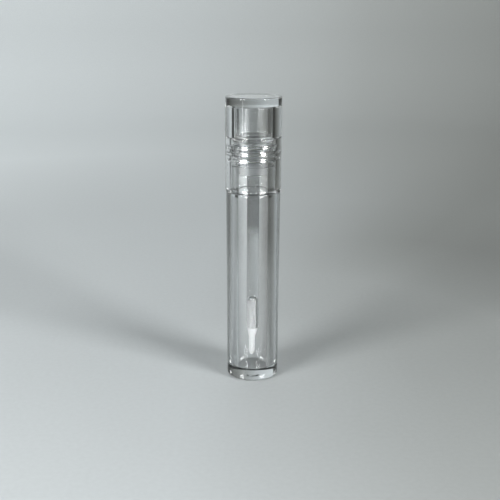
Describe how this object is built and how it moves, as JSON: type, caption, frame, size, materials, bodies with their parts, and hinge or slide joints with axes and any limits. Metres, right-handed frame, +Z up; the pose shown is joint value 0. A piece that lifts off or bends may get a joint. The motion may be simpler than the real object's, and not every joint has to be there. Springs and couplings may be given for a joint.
{
  "type": "lip gloss tube",
  "caption": "Clear thick-walled lip gloss tube with a screw cap that carries a slim wand with a white flocked tip, standing closed and empty.",
  "frame": {"origin": "centre of the base, on the surface that the tube stands on", "axes": "+Z up along the tube's axis, from the base to the cap; -Y towards the front, and the applicator's foot stands a little off the axis towards -X"},
  "size_m": [0.016, 0.016, 0.0834],
  "materials": {
    "clear_bottle": "crystal-clear moulded plastic, polished",
    "clear_cap": "crystal-clear moulded plastic, polished",
    "clear_stem": "clear moulded plastic, glossy",
    "soft_wiper": "translucent soft polyethylene",
    "natural_core": "translucent natural nylon",
    "white_flock": "short dense white nylon fibres"
  },
  "bodies": {
    "bottle_body": {"bottle": "clear_bottle", "wiper": "soft_wiper"},
    "wand_body": {"wand_stem": "clear_stem"},
    "cap_body": {"cap": "clear_cap", "applicator_core": "natural_core", "flocking": "white_flock"}
  },
  "joints": [
    {"name": "cap_lift", "type": "slide", "parent": "bottle_body", "child": "wand_body", "axis": [0, 0, 1], "range_m": [0, 0.072]},
    {"name": "cap_turn", "type": "hinge", "parent": "wand_body", "child": "cap_body", "pos_m": [0, 0, 0.0568], "axis": [0, 0, 1], "range_deg": [0, 14400]}
  ],
  "couplings": [
    {"joint": "cap_lift", "follows": "cap_turn", "m_per_rad": 0.00028648}
  ]
}
